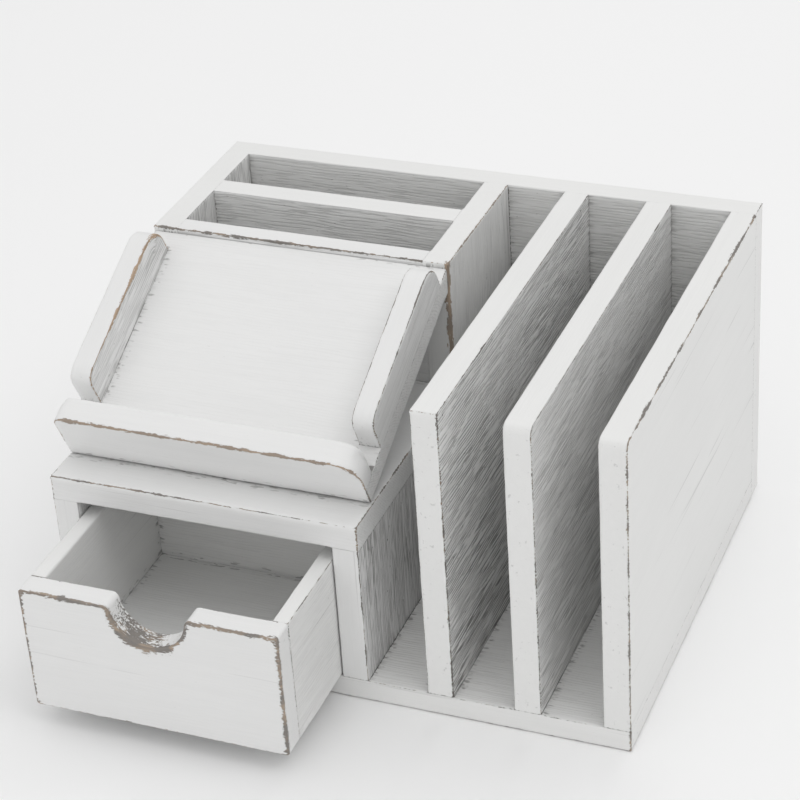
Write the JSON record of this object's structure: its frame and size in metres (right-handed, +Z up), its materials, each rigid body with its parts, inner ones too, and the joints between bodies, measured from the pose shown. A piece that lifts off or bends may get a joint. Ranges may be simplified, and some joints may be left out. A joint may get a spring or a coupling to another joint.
{
  "type": "desk organizer",
  "caption": "White distressed wooden desk organizer: a drawer cabinet with a slanted note tray on top, a divided pen box behind it and upright file slots beside it.",
  "frame": {"origin": "centre of the carcass's footprint, on its underside, so the drawer reaches in front of it when open", "axes": "+X to the file slots' side, -Y to the front where the drawer comes out, +Z up"},
  "size_m": [0.2162, 0.2206, 0.1315],
  "materials": {
    "worn_white_paint": "matte white paint over wood, sanded through to grey-brown wood along the edges",
    "brushed_white_paint": "thin matte white paint over rough-sawn wood, with the grain and brush marks showing grey",
    "steel_brad": "plain bright steel wire nails, heads set just under the surface"
  },
  "bodies": {
    "organizer": {"back_board": "brushed_white_paint", "base_board": "brushed_white_paint", "brad_back_divider_left_high": "steel_brad", "brad_back_divider_left_low": "steel_brad", "brad_back_divider_middle_high": "steel_brad", "brad_back_divider_middle_low": "steel_brad", "brad_back_divider_right_high": "steel_brad", "brad_back_divider_right_low": "steel_brad", "brad_back_pen_box_left_high": "steel_brad", "brad_back_pen_box_left_low": "steel_brad", "brad_back_pen_box_right_high": "steel_brad", "brad_back_pen_box_right_low": "steel_brad", "brad_base_cabinet_left": "steel_brad", "brad_base_cabinet_right": "steel_brad", "brad_base_divider_left_front": "steel_brad", "brad_base_divider_left_rear": "steel_brad", "brad_base_divider_middle_front": "steel_brad", "brad_base_divider_middle_rear": "steel_brad", "brad_base_divider_right_front": "steel_brad", "brad_base_divider_right_rear": "steel_brad", "brad_pen_box_front_left": "steel_brad", "brad_pen_box_front_right": "steel_brad", "brad_pen_box_partition_left": "steel_brad", "brad_pen_box_partition_right": "steel_brad", "brad_top_left_front": "steel_brad", "brad_top_left_rear": "steel_brad", "brad_top_right_front": "steel_brad", "brad_top_right_rear": "steel_brad", "brad_tray_front_left": "steel_brad", "brad_tray_front_right": "steel_brad", "brad_tray_left_high": "steel_brad", "brad_tray_left_low": "steel_brad", "brad_tray_right_high": "steel_brad", "brad_tray_right_low": "steel_brad", "cabinet_left_side": "worn_white_paint", "cabinet_right_side": "worn_white_paint", "cabinet_top": "worn_white_paint", "divider_left": "brushed_white_paint", "divider_middle": "brushed_white_paint", "divider_right": "brushed_white_paint", "pen_box_front": "worn_white_paint", "pen_box_left_side": "brushed_white_paint", "pen_box_partition": "brushed_white_paint", "pen_box_right_side": "brushed_white_paint", "tray_front_lip": "worn_white_paint", "tray_left_lip": "worn_white_paint", "tray_panel": "worn_white_paint", "tray_right_lip": "worn_white_paint"},
    "drawer": {"brad_drawer_back_left": "steel_brad", "brad_drawer_back_right": "steel_brad", "brad_drawer_front_left_high": "steel_brad", "brad_drawer_front_left_low": "steel_brad", "brad_drawer_front_right_high": "steel_brad", "brad_drawer_front_right_low": "steel_brad", "drawer_back": "brushed_white_paint", "drawer_bottom": "brushed_white_paint", "drawer_front": "worn_white_paint", "drawer_left_side": "brushed_white_paint", "drawer_right_side": "brushed_white_paint"}
  },
  "joints": [
    {"name": "drawer_slide", "type": "slide", "parent": "organizer", "child": "drawer", "axis": [0, -1, 0], "range_m": [-0.047, 0.033]}
  ]
}
